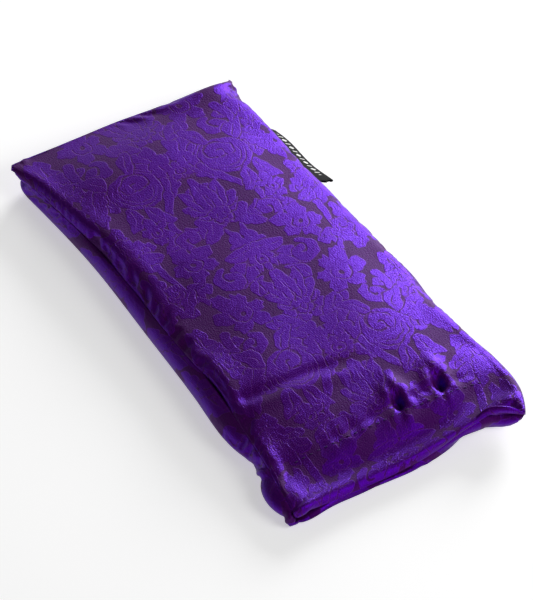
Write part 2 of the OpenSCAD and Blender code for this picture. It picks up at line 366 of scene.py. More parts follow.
def refine(p, cloth, times):
    """A finer grid over the same cloth, by Catmull-Rom curves along its first axis."""

    def along(q, periodic):
        before = np.roll(q, 1, axis=0) if periodic else np.concatenate([2 * q[:1] - q[1:2], q[:-1]])
        after = np.roll(q, -1, axis=0) if periodic else np.concatenate([q[1:], 2 * q[-1:] - q[-2:-1]])
        after2 = np.roll(q, -2, axis=0) if periodic else np.concatenate([after[1:], 2 * after[-1:] - after[-2:-1]])
        out = []
        for k in range(times):
            t = k / times
            out.append(
                0.5 * (2 * q + (after - before) * t + (2 * before - 5 * q + 4 * after - after2) * t**2
                       + (3 * q - before - 3 * after + after2) * t**3)
            )
        mixed = np.stack(out, axis=1).reshape((-1,) + q.shape[1:])
        return mixed if periodic else mixed[: (len(q) - 1) * times + 1]

    return along(p, False)


def finer_cloth(cloth, p, times):
    rows, half = cloth.rows * times, cloth.half * times
    fine = Cloth(rows, half)
    q = refine(p, cloth, times)
    ring = np.swapaxes(q, 0, 1)
    # Each panel is refined by itself, so that the seams stay creased
    top = refine(ring[: cloth.half + 1], cloth, times)
    bottom = refine(np.concatenate([ring[cloth.half:], ring[:1]]), cloth, times)
    whole = np.concatenate([top, bottom[1:-1]])
    return fine, np.swapaxes(whole, 0, 1)


def iron(p, cloth, passes):
    """Smooths the middle of the top, where the cloth is taut over the filling."""
    across = smooth_step(CUT_W / 2 - np.abs(cloth.v), 5, 16) * cloth.top
    along = smooth_step(cloth.u, 4, 14) * (1 - 0.5 * smooth_step(cloth.u, CUT_L - 34, CUT_L - 12))
    along[-1] = 0
    share = 0.5 * (along[:, None] * across[None, :])[..., None]
    for _ in range(passes):
        mean = (np.roll(p, 1, 0) + np.roll(p, -1, 0) + np.roll(p, 1, 1) + np.roll(p, -1, 1)) / 4
        p = p + share * (mean - p)
    return p


# Pits where the hem's stitches catch the cloth below: X, Y, depth, radius
PITS = [(82.7, 31.5, 5.8, 1.8), (83.3, 11.5, 5.6, 1.7)]


def press_in(p, cloth):
    """Presses the pits, the puckers of the hem's row and the fold across the top into the settled cloth."""
    x, y = p[..., 0], p[..., 1]
    over = smooth_step(CUT_W / 2 - np.abs(cloth.v), 2, 9)[None, :] * cloth.top[None, :]
    from_row = x - STITCH_X - 0.10 * np.maximum(0, 8 - y)
    on_row = smooth_step(y, -38, -14) * (1 - smooth_step(y, 42, 50))
    pucker = 0.15 * np.sin(2 * math.pi * y / 8.5 + 1.6 * wave_noise(x, y, 30, 51)) * np.exp(-((from_row / 6.0) ** 2))
    row = 0.45 * np.exp(-((from_row / 2.2) ** 2)) - 0.25 * np.exp(-(((from_row - 5) / 3.6) ** 2))
    fold_x = x - 53 - 0.12 * (y + 20) - 1.2 * wave_noise(y, 0 * y, 40, 52)
    fold = 0.9 * np.exp(-((fold_x / 3.0) ** 2)) - 0.5 * np.exp(-(((fold_x - 6.0) / 4.0) ** 2))
    fold = fold * smooth_step(-y, -14, 12)
    slack = smooth_step(x, 30, 80)
    creases = 0.15 * slack * wave_noise(1.4 * x, 0.7 * y, 22, 53)
    rise = creases - fold + on_row * (pucker - row)
    for px, py, depth, radius in PITS:
        dx, dy = (x - px + 0.5 * (y - py)) / 1.7, y - py
        r = np.hypot(dx, dy)
        rise = rise - depth * np.exp(-((r / radius) ** 2))
        # A swelling beside the pit, most on its far side, and pleats that run out of it
        side = 0.55 + 0.45 * np.clip((0.7 * dy - 0.7 * dx) / (r + 0.5), -1, 1)
        rise = rise + 1.5 * side * np.exp(-(((r - 2.7 * radius) / (1.6 * radius)) ** 2))
        turn = np.arctan2(dy, dx)
        rise = rise + 0.22 * np.sin(5 * turn + px) * np.exp(-(((r - 2.6 * radius) / (1.6 * radius)) ** 2))
    p[..., 2] += over * rise
    return p


def make_cover():
    coarse = Cloth(round(CUT_L / COARSE_STEP), round(CUT_W / COARSE_STEP))
    p = settle(coarse, coarse.start(), 60, 4)
    cloth = coarse
    cloth, p = finer_cloth(coarse, p, 2)
    p = settle(cloth, p, 60, 4)
    p = iron(p, cloth, 60)
    fine, p = finer_cloth(cloth, p, REFINE)
    return fine, press_in(p, fine)


# ---- Damask: a field over the cloth, in millimetres, positive inside a woven figure ----

TILE_L = 141.0
TILE_START = -83.5
LINE = 0.34
PATTERN_SCALE = 0.84


def leaf(a, b, base, tip, width, bend=0.0, lobes=0, vein=True):
    """A leaf from base to tip, its middle bowed sideways by bend, with scalloped edges if it has lobes."""
    base, tip = np.array(base, float), np.array(tip, float)
    axis = tip - base
    length = np.hypot(*axis)
    axis = axis / length
    t = ((a - base[0]) * axis[0] + (b - base[1]) * axis[1]) / length
    side = -(a - base[0]) * axis[1] + (b - base[1]) * axis[0]
    inside = np.clip(t, 0, 1)
    side = side - bend * 4 * inside * (1 - inside)
    outline = np.sin(math.pi * inside**0.8) ** 0.7
    if lobes:
        finger = np.abs(np.sin(math.pi * (lobes * inside - 0.45 * np.abs(side) / width + 0.15 * (side > 0))))
        outline = outline * (0.66 + 0.34 * finger**0.7)
    body = width * outline - np.abs(side)
    past = np.maximum(-t, t - 1) * length
    body = np.where(past > 0, -np.hypot(past, side), body * 0.85)
    if vein:
        cut = np.maximum(np.abs(side) - LINE * (1.2 - inside), (0.12 - inside) * length)
        body = np.minimum(body, np.maximum(cut, (inside - 0.8) * length))
    return body


def flower(a, b, centre, radius, petals, turn=0.0, heart=0.24):
    """A flower of round petals, with a ring round its heart and lines between its petals."""
    r = np.hypot(a - centre[0], b - centre[1])
    around = np.arctan2(b - centre[1], a - centre[0]) - turn
    angle = petals * around / 2 + 0.35 * np.sin(around + 5 * turn)
    uneven = 1 + 0.10 * np.sin(2 * around + 7 * turn) + 0.05 * np.sin(5 * around + 3 * turn)
    notch = 0.10 * np.abs(np.sin(3 * angle)) ** 1.5
    edge = radius * uneven * (0.62 + 0.38 * np.abs(np.cos(angle)) ** 0.7 - notch)
    body = (edge - r) * 0.9
    taper = np.clip((r / radius - 0.42) * 2.6, 0, 1)
    between = np.maximum(2 * r / petals * np.abs(np.cos(angle)) - LINE * taper, 0.5 * radius - r)
    # The heart is a crescent and a dot of ground, off the middle
    hr = np.hypot(a - centre[0] - 0.06 * radius, b - centre[1])
    crescent = np.maximum(np.abs(hr - 1.5 * heart * radius) - LINE, -1.2 - 3 * np.sin(around + 2.2))
    dot = hr - 0.45 * heart * radius
    return np.minimum(np.minimum(body, crescent), np.minimum(between, np.where(radius > 7, dot, 9.0)))


def stroke(a, b, points, widths):
    """A band through points, as wide at each point as widths says."""
    points = np.array(points, float)
    best = np.full(a.shape, -99.0)
    for k in range(len(points) - 1):
        p, q = points[k], points[k + 1]
        d = q - p
        t = np.clip(((a - p[0]) * d[0] + (b - p[1]) * d[1]) / (d @ d), 0, 1)
        away = np.hypot(a - p[0] - t * d[0], b - p[1] - t * d[1])
        best = np.maximum(best, widths[k] + t * (widths[k + 1] - widths[k]) - away)
    return best


def spiral_points(centre, outer, inner, start, sweep, count=26):
    """Points along a spiral, from its outer end, in degrees."""
    t = np.linspace(0, 1, count)
    angle = np.radians(start + sweep * t)
    r = outer + (inner - outer) * t**0.8
    return np.stack([centre[0] + r * np.cos(angle), centre[1] + r * np.sin(angle)], axis=-1)


def scroll(a, b, centre, outer, inner, start, sweep, width):
    """A curled band that swells along its length, with a round end."""
    points = spiral_points(centre, outer, inner, start, sweep)
    t = np.linspace(0, 1, len(points))
    widths = width * (0.35 + 0.65 * np.sin(math.pi * np.minimum(1, 0.15 + 0.9 * t)) ** 0.7)
    widths[-3:] = width * 0.9
    return stroke(a, b, points, widths)


def arcs(a, b, centre, radii, start, sweep):
    """Thin concentric lines of ground, as a field that is negative on them."""
    r = np.hypot(a - centre[0], b - centre[1])
    angle = (np.degrees(np.arctan2(b - centre[1], a - centre[0])) - start) % 360
    inside = angle < sweep
    line = np.min([np.abs(r - k) for k in radii], axis=0) - LINE * np.sin(np.pi * np.clip(angle / sweep, 0, 1)) ** 0.5
    return np.where(inside, line, 9.0)


def half_moon(a, b, centre, radius, turn):
    """A thick crescent, open towards turn (in degrees), with thin lines of ground round it."""
    way = np.array([math.cos(math.radians(turn)), math.sin(math.radians(turn))])
    outer = radius - np.hypot(a - centre[0], b - centre[1])
    hollow = centre[0] + 0.42 * radius * way[0], centre[1] + 0.42 * radius * way[1]
    inner = np.hypot(a - hollow[0], b - hollow[1]) - 0.52 * radius
    lines = arcs(a, b, centre, (0.62 * radius, 0.81 * radius), turn + 75, 210)
    return np.minimum(np.minimum(outer, inner), lines)


def stem(start, bends, end, count=18):
    """Points along a smooth curve from start to end, drawn towards the bends."""
    knots = [np.array(p, float) for p in (start, *bends, end)]
    t = np.linspace(0, 1, count)[:, None]
    n = len(knots) - 1
    return sum(math.comb(n, k) * (1 - t) ** (n - k) * t**k * knots[k] for k in range(n + 1))


# One half of the repeat, from the lowest figure to the highest. The other half mirrors it across b = 0.
# A figure is (centre, reach, function of a and b).
def half_repeat():
    figures = []

    def put(centre, reach, draw):
        figures.append((centre, reach, draw))

    def put_leaf(base, tip, width, bend=0.0, lobes=0, vein=True):
        middle = ((base[0] + tip[0]) / 2, (base[1] + tip[1]) / 2)
        reach = math.dist(base, tip) / 2 + width + abs(bend) + 3
        put(middle, reach, lambda a, b: leaf(a, b, base, tip, width, bend, lobes, vein))

    def put_flower(centre, radius, petals, turn=0.0):
        put(centre, radius + 3, lambda a, b: flower(a, b, centre, radius, petals, turn))

    def put_scroll(centre, outer, inner, start, sweep, width):
        put(centre, outer + width + 3, lambda a, b: scroll(a, b, centre, outer, inner, start, sweep, width))

    def put_stem(start, bends, end, wide, thin):
        points = stem(start, bends, end)
        widths = np.linspace(wide, thin, len(points))
        middle = points.mean(axis=0)
        reach = np.max(np.hypot(*(points - middle).T)) + wide + 3
        put(tuple(middle), reach, lambda a, b: stroke(a, b, points, widths))

    # Large acanthus leaves that lie under the flowers
    put_leaf((12, 2), (50, 20), 9.5, -6, 6)
    put_leaf((84, 20), (44, 5), 8.5, 5, 6)
    put_leaf((84, 2), (126, 18), 9.5, -5, 6)
    put_leaf((144, 4), (104, 28), 8.5, 6, 6)
    put_leaf((-14, 8), (14, 14), 7.5, -3, 5)
    put_leaf((16, 54), (52, 50), 7.5, 4, 6)
    put_leaf((88, 47), (50, 55), 7.0, -4, 6)
    put_leaf((92, 54), (134, 48), 7.5, 4, 6)
    put_leaf((150, 42), (120, 57), 7.0, 2, 5)
    put_leaf((-14, 40), (16, 56), 7.0, 3, 5)
    put_leaf((36, 40), (24, 57), 5.5, -3, 4)
    put_leaf((74, 30), (80, 50), 6.5, 3, 4)
    put_leaf((112, 38), (106, 56), 5.5, -2, 4)
    put_leaf((134, 16), (138, 40), 7.0, -4, 5)
    put_leaf((40, 14), (44, 38), 6.5, 3, 4)
    # Stems
    put_stem((2, 12), [(20, 16), (24, 30)], (36, 24), 2.8, 1.2)
    put_stem((36, 46), [(50, 50), (70, 48)], (84, 38), 2.6, 1.3)
    put_stem((104, 44), [(118, 48), (130, 42)], (138, 32), 2.6, 1.2)
    # Scrolls
    put((0, 27), 17, lambda a, b: half_moon(a, b, (0, 27), 13.5, 200))
    put_scroll((-4, 25), 6.5, 1.8, 60, 330, 2.6)
    put_scroll((76, 20), 7.5, 2.0, 160, -330, 2.9)
    put_scroll((118, 36), 7.0, 2.0, 200, 330, 2.7)
    put_scroll((41, 23), 6.0, 1.6, 20, 320, 2.4)
    # Long pointed leaves fanned out from the scrolls
    put_leaf((12, 30), (27, 20), 4.2, 2)
    put_leaf((9, 38), (24, 46), 4.6, -3)
    put_leaf((-9, 38), (-22, 48), 4.6, 3)
    put_leaf((-12, 24), (-26, 14), 4.2, -2)
    put_leaf((64, 18), (60, 3), 4.4, 2)
    put_leaf((93, 15), (80, 6), 4.0, -2)
    put_leaf((107, 19), (118, 6), 4.6, 2)
    put_leaf((70, 41), (85, 50), 4.4, 2)
    put_leaf((44, 40), (36, 51), 4.4, -2)
    put_leaf((126, 24), (136, 11), 4.2, -2)
    # Flowers
    put_flower((28, 34), 9.0, 5, 0.4)
    put_flower((57, 31), 13.5, 5, 0.2)
    put_flower((96, 30), 14.5, 6, 0.5)
    put_flower((68, 51), 6.0, 5, 0.1)
    put_flower((120, 51), 6.0, 5, 0.7)
    put_flower((134, 28), 5.0, 5, 1.1)
    return figures


def middle_repeat():
    """Figures that stand on the line b = 0, across which the cloth is mirrored."""
    figures = []
    for base, sign in ((34.0, -1), (104.0, -1)):
        for degrees, length, width in ((80, 12, 3.6), (52, 19, 4.4), (25, 24, 4.6), (0, 27, 4.8)):
            turn = math.radians(degrees)
            tip = (base + sign * length * math.cos(turn), length * math.sin(turn))
            figures.append((
                ((base + tip[0]) / 2, tip[1] / 2), length / 2 + width + 3,
                lambda a, b, base=base, tip=tip, width=width: leaf(a, b, (base, 0), tip, width, 0, 0, True),
            ))
        figures.append(((base + 3, 0), 10, lambda a, b, base=base: flower(a, b, (base + 3, 0), 6.5, 6, 0)))
    for centre, radius in ((70.0, 9.0), (-1.0, 8.0)):
        figures.append(((centre, 0), radius + 3, lambda a, b, c=centre, r=radius: flower(a, b, (c, 0), r, 8, 0)))
    return figures


def damask(a, b):
    """The field at each point of the cloth. The figures are warped a little, so that no two are quite alike."""
    a, b = a / PATTERN_SCALE, b / PATTERN_SCALE
    b = 57 - np.abs(57 - np.abs(b))
    a, b = a + 1.3 * wave_noise(a, b, 42, 61), b + 1.1 * wave_noise(a, b, 36, 62)
    a, b = a + 0.42 * wave_noise(a, b, 7, 63), b + 0.42 * wave_noise(a, b, 7, 64)
    field = np.full(a.shape, -3.0)
    gap = 1.7 * LINE

    def add(figure, start, mirrored):
        (ca, cb), reach, draw = figure
        ca, bb = ca + start, (-b if mirrored else b)
        near = (a - ca) ** 2 + (bb - cb) ** 2 < reach**2
        if not near.any():
            return
        value = draw(a[near] - start, bb[near])
        below = np.minimum(field[near], -value - gap)
        field[near] = np.maximum(below, value)

    starts = [TILE_START + k * TILE_L for k in (-1, 0, 1, 2)]
    for start in starts:
        for figure in half_repeat():
            add(figure, start, False)
            add(figure, start, True)
    for start in starts:
        for figure in middle_repeat():
            add(figure, start, False)
            add(figure, start, True)
    return field


# ---- Mesh building ----


def new_object(name, vertices, faces):
    mesh = bpy.data.meshes.new(name)
    mesh.from_pydata([tuple(v) for v in vertices], [], faces)
    mesh.validate()
    mesh.update()
    obj = bpy.data.objects.new(name, mesh)
    bpy.context.scene.collection.objects.link(obj)
    mesh.polygons.foreach_set("use_smooth", np.ones(len(mesh.polygons), bool))
    return obj


def grid_faces(rows, columns, flip):
    i, j = np.meshgrid(np.arange(rows - 1), np.arange(columns - 1), indexing="ij")
    a = (i * columns + j).ravel()
    quads = np.stack([a, a + 1, a + columns + 1, a + columns], axis=-1)
    return quads[:, ::-1] if flip else quads


def panel_object(name, sheet, cloth_u, cloth_v, thickness, outward_up):
    """A closed panel: its outer face is the fine sheet, and its inner face a coarser one."""
    rows, columns = sheet.shape[:2]
    normals = np.cross(np.gradient(sheet, axis=0), np.gradient(sheet, axis=1))
    normals /= np.linalg.norm(normals, axis=-1, keepdims=True) + 1e-9
    if np.mean(normals[..., 2]) * (1 if outward_up else -1) < 0:
        normals = -normals
    skip = INNER_SKIP
    inner = (sheet - normals * thickness[..., None])[::skip, ::skip]
    inner_rows, inner_columns = inner.shape[:2]
    outer_count = rows * columns
    outer = grid_faces(rows, columns, outward_up)
    inside = grid_faces(inner_rows, inner_columns, not outward_up) + outer_count
    faces = [tuple(int(k) for k in f) for f in outer] + [tuple(int(k) for k in f) for f in inside]

    def rim(outer_line, inner_line, turn):
        for k in range(len(inner_line) - 1):
            fine = list(outer_line[k * skip:(k + 1) * skip + 1])
            face = fine + [inner_line[k + 1], inner_line[k]]
            faces.append(tuple(int(n) for n in (face if turn else face[::-1])))

    outer_index = np.arange(outer_count).reshape(rows, columns)
    inner_index = outer_count + np.arange(inner_rows * inner_columns).reshape(inner_rows, inner_columns)
    rim(outer_index[0], inner_index[0], outward_up)
    rim(outer_index[-1], inner_index[-1], not outward_up)
    rim(outer_index[:, 0], inner_index[:, 0], not outward_up)
    rim(outer_index[:, -1], inner_index[:, -1], outward_up)
    vertices = np.concatenate([sheet.reshape(-1, 3), inner.reshape(-1, 3)]) * MM
    obj = new_object(name, vertices, faces)
    uu = np.concatenate([np.repeat(cloth_u, columns), np.repeat(cloth_u[::skip], inner_columns)])
    vv = np.concatenate([np.tile(cloth_v, rows), np.tile(cloth_v[::skip], inner_rows)])
    return obj, uu, vv


def add_attribute(obj, name, values):
    layer = obj.data.attributes.new(name, "FLOAT", "POINT")
    layer.data.foreach_set("value", np.asarray(values, np.float32))


# ---- Materials ----


def new_material(name):
    material = bpy.data.materials.new(name)
    material.use_nodes = True
    nodes, links = material.node_tree.nodes, material.node_tree.links
    return material, nodes, links, nodes["Principled BSDF"]


def plain_material(name, colour, roughness):
    material, nodes, links, shader = new_material(name)
    shader.inputs["Base Color"].default_value = (*colour, 1)
    shader.inputs["Roughness"].default_value = roughness
    return material


class Graph:
    """Short names for the shader nodes that the cloths share."""

    def __init__(self, name):
        self.material, self.nodes, self.links, self.shader = new_material(name)

    def node(self, kind, inputs=(), **settings):
        node = self.nodes.new(kind)
        for key, value in settings.items():
            setattr(node, key, value)
        for key, value in dict(inputs).items():
            self.feed(node.inputs[key], value)
        return node

    def feed(self, socket, value):
        if isinstance(value, bpy.types.NodeSocket):
            self.links.new(value, socket)
        else:
            socket.default_value = value

    def attribute(self, name):
        return self.node("ShaderNodeAttribute", attribute_name=name).outputs["Fac"]

    def math(self, operation, a, b=0.0, c=0.0):
        return self.node("ShaderNodeMath", {0: a, 1: b, 2: c}, operation=operation).outputs[0]

    def ramp(self, value, low, high, to_low=0.0, to_high=1.0):
        return self.node("ShaderNodeMapRange", {"Value": value, "From Min": low, "From Max": high,
                                                "To Min": to_low, "To Max": to_high}).outputs[0]

    def mix(self, factor, a, b):
        node = self.node("ShaderNodeMix", data_type="RGBA")
        colours = [socket for socket in node.inputs if socket.type == "RGBA"]
        self.feed(node.inputs["Factor"], factor)
        for socket, value in zip(colours, (a, b)):
            self.feed(socket, value if isinstance(value, bpy.types.NodeSocket) else (*value, 1))
        return next(socket for socket in node.outputs if socket.type == "RGBA")

    def cloth_place(self):
        """The place on the cloth as cut, in millimetres."""
        return self.node("ShaderNodeCombineXYZ", {0: self.attribute("cut_u"), 1: self.attribute("cut_v")}).outputs[0]

    def noise(self, vector, scale, detail=2.0):
        return self.node("ShaderNodeTexNoise", {"Vector": vector, "Scale": scale, "Detail": detail}).outputs["Fac"]

    def bands(self, along, pitch):
        """Rounded ribs with the given pitch along an attribute, from 0 to 1."""
        wave = self.math("SINE", self.math("MULTIPLY", along, 2 * math.pi / pitch))
        return self.math("MULTIPLY_ADD", wave, 0.5, 0.5)

    def bump(self, height, distance, strength=1.0, under=None):
        inputs = {"Height": height, "Distance": distance, "Strength": strength}
        if under is not None:
            inputs["Normal"] = under
        return self.node("ShaderNodeBump", inputs).outputs["Normal"]

    def set(self, **values):
        for key, value in values.items():
            self.feed(self.shader.inputs[key.replace("_", " ")], value)


GROUND_COLOUR = (0.050, 0.0030, 0.068)
FIGURE_COLOUR = (0.068, 0.0035, 0.072)
EDGE_COLOUR = (0.088, 0.008, 0.125)
GROUND_GLOSS = (0.34, 0.0, 0.95)
FIGURE_GLOSS = (0.15, 0.0, 0.92)


def satin_material():
    """Damask satin: glossy figures woven on a duller ground."""
    g = Graph("damask_satin")
    field = g.attribute("damask")
    figure = g.ramp(field, -0.16, 0.16)
    place = g.cloth_place()
    grain = g.noise(place, 1.5, 3.0)
    cloud = g.noise(place, 0.035, 2.0)
    outline = g.math("MULTIPLY", g.ramp(field, -0.05, 0.12), g.ramp(field, 0.45, 0.2))
    colour = g.mix(outline, g.mix(figure, GROUND_COLOUR, FIGURE_COLOUR), EDGE_COLOUR)
    shade = g.math("ADD", g.ramp(grain, 0.28, 0.72, 0.55, 1.45), g.ramp(cloud, 0.3, 0.7, -0.10, 0.10))
    scaled = g.node("ShaderNodeVectorMath", {0: colour, 1: g.node("ShaderNodeCombineXYZ",
                    {0: shade, 1: shade, 2: shade}).outputs[0]}, operation="MULTIPLY").outputs[0]
    floats = g.bands(g.attribute("cut_v"), 0.55)
    picks = g.bands(g.attribute("cut_u"), 0.62)
    weave = g.math("ADD", g.math("MULTIPLY", floats, g.ramp(figure, 0, 1, 0.35, 1.0)),
                   g.math("MULTIPLY", picks, g.ramp(figure, 0, 1, 1.0, 0.15)))
    relief = g.bump(figure, 0.00007)
    surface = g.bump(g.math("ADD", weave, g.math("MULTIPLY", grain, 6.0)), 0.00005, 0.7, relief)
    g.set(Base_Color=scaled, IOR=3.0, Specular_IOR_Level=g.ramp(figure, 0, 1, 0.16, 0.5),
          Specular_Tint=g.mix(figure, GROUND_GLOSS, FIGURE_GLOSS),
          Roughness=g.math("ADD", g.ramp(figure, 0, 1, 0.60, 0.34), g.ramp(grain, 0.3, 0.7, -0.06, 0.06)),
          Normal=surface)
    return g.material


def thread_material(name, colour):
    g = Graph(name)
    place = g.node("ShaderNodeTexCoord").outputs["Object"]
    twist = g.noise(place, 2500, 2.0)
    g.set(Base_Color=g.mix(twist, tuple(0.6 * c for c in colour), colour), Roughness=0.6,
          Normal=g.bump(twist, 0.00005), Specular_IOR_Level=0.3)
    return g.material


def ribbon_material():
    """Black woven ribbon, ribbed across its length, with white figures woven in."""
    g = Graph("woven_ribbon")
    figure = g.ramp(g.attribute("figure"), -0.08, 0.08)
    place = g.cloth_place()
    fuzz = g.noise(place, 3.0, 2.0)
    ribs = g.bands(g.attribute("cut_u"), 0.42)
    cross = g.bands(g.attribute("cut_v"), 0.36)
    black = g.mix(fuzz, (0.006, 0.006, 0.007), (0.020, 0.020, 0.022))
    white = g.mix(g.math("MULTIPLY", cross, fuzz), (0.75, 0.75, 0.74), (0.95, 0.95, 0.94))
    height = g.math("ADD", g.math("ADD", ribs, g.math("MULTIPLY", cross, 0.5)), g.math("MULTIPLY", figure, 1.5))
    g.set(Base_Color=g.mix(figure, black, white), Roughness=0.8, Specular_IOR_Level=0.12,
          Normal=g.bump(height, 0.00006))
    return g.material


def cotton_material():
    """Undyed plain-weave cotton, with the seeds under it showing as a fine grain."""
    g = Graph("muslin")
    place = g.cloth_place()
    fleck = g.noise(place, 0.9, 4.0)
    weave = g.math("ADD", g.bands(g.attribute("cut_u"), 0.6), g.bands(g.attribute("cut_v"), 0.6))
    seeds = g.node("ShaderNodeTexVoronoi", {"Vector": place, "Scale": 0.42}, feature="SMOOTH_F1").outputs["Distance"]
    colour = g.mix(g.ramp(fleck, 0.35, 0.65), (0.62, 0.56, 0.44), (0.80, 0.75, 0.63))
    seeds_under = g.bump(g.ramp(seeds, 0.0, 0.8, 1.0, 0.0), 0.00045, 0.6)
    g.set(Base_Color=colour, Roughness=0.85, Normal=g.bump(weave, 0.00005, 0.7, seeds_under), Sheen_Weight=0.2)
    return g.material


def seed_material(name, dark, light):
    g = Graph(name)
    place = g.node("ShaderNodeTexCoord").outputs["Object"]
    tone = g.noise(place, 180, 3.0)
    g.set(Base_Color=g.mix(g.ramp(tone, 0.3, 0.7), dark, light), Roughness=0.35,
          Normal=g.bump(g.noise(place, 900, 2.0), 0.0001, 0.5))
    return g.material


def packed_seed_material():
    """Seeds packed against each other, each a tone of its own, with painted shade in the crevices between them."""
    g = Graph("packed_flax")
    place = g.node("ShaderNodeTexCoord").outputs["Object"]
    cells = g.node("ShaderNodeTexVoronoi", {"Vector": place, "Scale": 420.0})
    gap = g.ramp(cells.outputs["Distance"], 0.25, 0.75)
    tone = g.node("ShaderNodeSeparateColor", {0: cells.outputs["Color"]}).outputs[0]
    # The near-black colour at the cell borders is painted shade in the crevices between the seeds; the same mask also
    # sinks those crevices in the bump.
    colour = g.mix(gap, g.mix(tone, (0.20, 0.08, 0.025), (0.40, 0.19, 0.07)), (0.03, 0.012, 0.005))
    g.set(Base_Color=colour, Roughness=0.35, Normal=g.bump(g.math("SUBTRACT", 1.0, gap), 0.0006))
    return g.material


satin = satin_material()
satin_thread = thread_material("satin_thread", (0.045, 0.010, 0.110))
cotton_thread = thread_material("cotton_thread", (0.70, 0.65, 0.52))
ribbon = ribbon_material()
muslin = cotton_material()
flax = seed_material("flax_seed", (0.12, 0.045, 0.015), (0.36, 0.17, 0.06))
packed_flax = packed_seed_material()
lavender = seed_material("lavender_bud", (0.10, 0.08, 0.20), (0.34, 0.28, 0.45))


def finish_piece(piece, material, body, nodes=()):
    """Gives a piece its material, its body and the nodes it stands for."""
    if material is not None:
        piece.data.materials.clear()
        piece.data.materials.append(material)
    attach(piece, body)
    if nodes:
        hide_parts(*nodes)


# ---- Stitches ----

STITCH_L = 2.2
STITCH_GAP = 1.1
THREAD_R = 0.22


def resample(points, normals, step):
    """Points and normals at even steps along a line."""
    lengths = np.concatenate([[0], np.cumsum(np.linalg.norm(np.diff(points, axis=0), axis=1))])
    at = np.arange(0, lengths[-1], step)
    place = np.stack([np.interp(at, lengths, points[:, k]) for k in range(3)], axis=-1)
    out = np.stack([np.interp(at, lengths, normals[:, k]) for k in range(3)], axis=-1)
    return place, out / (np.linalg.norm(out, axis=-1, keepdims=True) + 1e-9)


def stitch_mesh(name, lines, lift=0.05, dive=0.6, sides=6):
    """Running stitches along each (points, normals) line: each one rises out of the cloth and dives back in."""
    vertices, faces = [], []
    rings = 6
    step = STITCH_L / (rings - 1)
    skip = round((STITCH_L + STITCH_GAP) / step)
    for points, normals in lines:
        place, out = resample(points, normals, step)
        for start in range(0, len(place) - rings, skip):
            base = len(vertices)
            for k in range(rings):
                end = abs(2 * k / (rings - 1) - 1)
                centre = place[start + k] + out[start + k] * (lift - dive * end**4)
                ahead = place[min(start + k + 1, len(place) - 1)] - place[start + k]
                ahead /= np.linalg.norm(ahead) + 1e-9
                side = np.cross(out[start + k], ahead)
                radius = THREAD_R * (0.75 if k in (0, rings - 1) else 1)
                for m in range(sides):
                    turn = 2 * math.pi * m / sides
                    vertices.append(centre + radius * (math.cos(turn) * side + math.sin(turn) * out[start + k]))
            for k in range(rings - 1):
                for m in range(sides):
                    a = base + k * sides + m
                    b = base + k * sides + (m + 1) % sides
                    faces.append((a, b, b + sides, a + sides))
            faces.append(tuple(range(base, base + sides))[::-1])
            faces.append(tuple(range(base + (rings - 1) * sides, base + rings * sides)))
    return new_object(name, np.array(vertices) * MM, faces)


def sheet_normals(sheet):
    n = np.cross(np.gradient(sheet, axis=0), np.gradient(sheet, axis=1))
    return n / (np.linalg.norm(n, axis=-1, keepdims=True) + 1e-9)


# ---- Cover ----

cloth, sheet = make_cover()
half = cloth.half
hem = smooth_step(cloth.u, CUT_L - 36, CUT_L - 34)[:, None] * smooth_step(CUT_W / 2 - np.abs(cloth.v), 2, 8)
thickness = CLOTH_T * (1 + hem)
top_sheet = sheet[:, : half + 1]
bottom_sheet = np.concatenate([sheet[:, half:], sheet[:, :1]], axis=1)
top_across = cloth.v[: half + 1]
bottom_across = np.concatenate([cloth.v[half:], cloth.v[:1]])


def cover_panel(name, panel_sheet, across, on_top, node):
    panel, u, v = panel_object(name, panel_sheet, cloth.u, across, thickness[:, : half + 1], on_top)
    add_attribute(panel, "cut_u", u)
    add_attribute(panel, "cut_v", v)
    # The bottom panel is cut from the same cloth, half a repeat along it
    add_attribute(panel, "damask", np.clip(damask(u - CUT_L / 2 + (0 if on_top else TILE_L / 2), v), -3, 3))
    finish_piece(panel, satin, "cover", [node])
    return panel


cover_top = cover_panel("cover_top", top_sheet, top_across, True, "cover_top_panel")
cover_bottom = cover_panel("cover_bottom", bottom_sheet, bottom_across, False, "cover_bottom_panel")

top_normals = sheet_normals(top_sheet)
top_normals *= np.sign(np.mean(top_normals[..., 2]))
row_u = STITCH_X - CLOSED_X + 4.0
row = int(np.argmin(np.abs(cloth.u - row_u)))
inset = round(11 / (CUT_W / half))
top_hem = stitch_mesh("top_hem_thread", [(top_sheet[row, inset:-inset], top_normals[row, inset:-inset])])
finish_piece(top_hem, satin_thread, "cover", ["top_hem_stitching"])

bottom_normals = sheet_normals(bottom_sheet)
bottom_normals *= np.sign(np.mean(bottom_normals[..., 2]))
bottom_row = bottom_sheet[row, inset:-inset] + [0, 0, 2 * CLOTH_T]
bottom_hem = stitch_mesh("bottom_hem_thread", [(bottom_row, bottom_normals[row, inset:-inset])])
finish_piece(bottom_hem, satin_thread, "cover", ["bottom_hem_stitching"])

SEAM_DEPTH = 1.0


def seam_thread(name, line, inward, node):
    """Thread along a seam, just inside its crease."""
    normals = np.tile(-np.array(inward, float), (len(line), 1))
    thread = stitch_mesh(name, [(line + SEAM_DEPTH * np.array(inward), normals)])
    finish_piece(thread, satin_thread, "cover", [node])


seam_thread("plain_side_thread", top_sheet[4:-4, 0], (0, 1, 0), "plain_side_seam")
seam_thread("label_side_thread", top_sheet[4:-4, -1], (0, -1, 0), "label_side_seam")
seam_thread("closed_end_thread", top_sheet[0, 4:-4], (1, 0, 0), "closed_end_seam")

# ---- Label ----

LABEL_LOW, LABEL_HIGH = (np.array(corner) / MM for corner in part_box("side_label"))
LABEL_T = 0.32
LABEL_REACH = 8.0
LABEL_INSIDE = 1.6
FOLD_R = 0.55
LABEL_DROOP = (math.radians(-46), math.radians(-27))


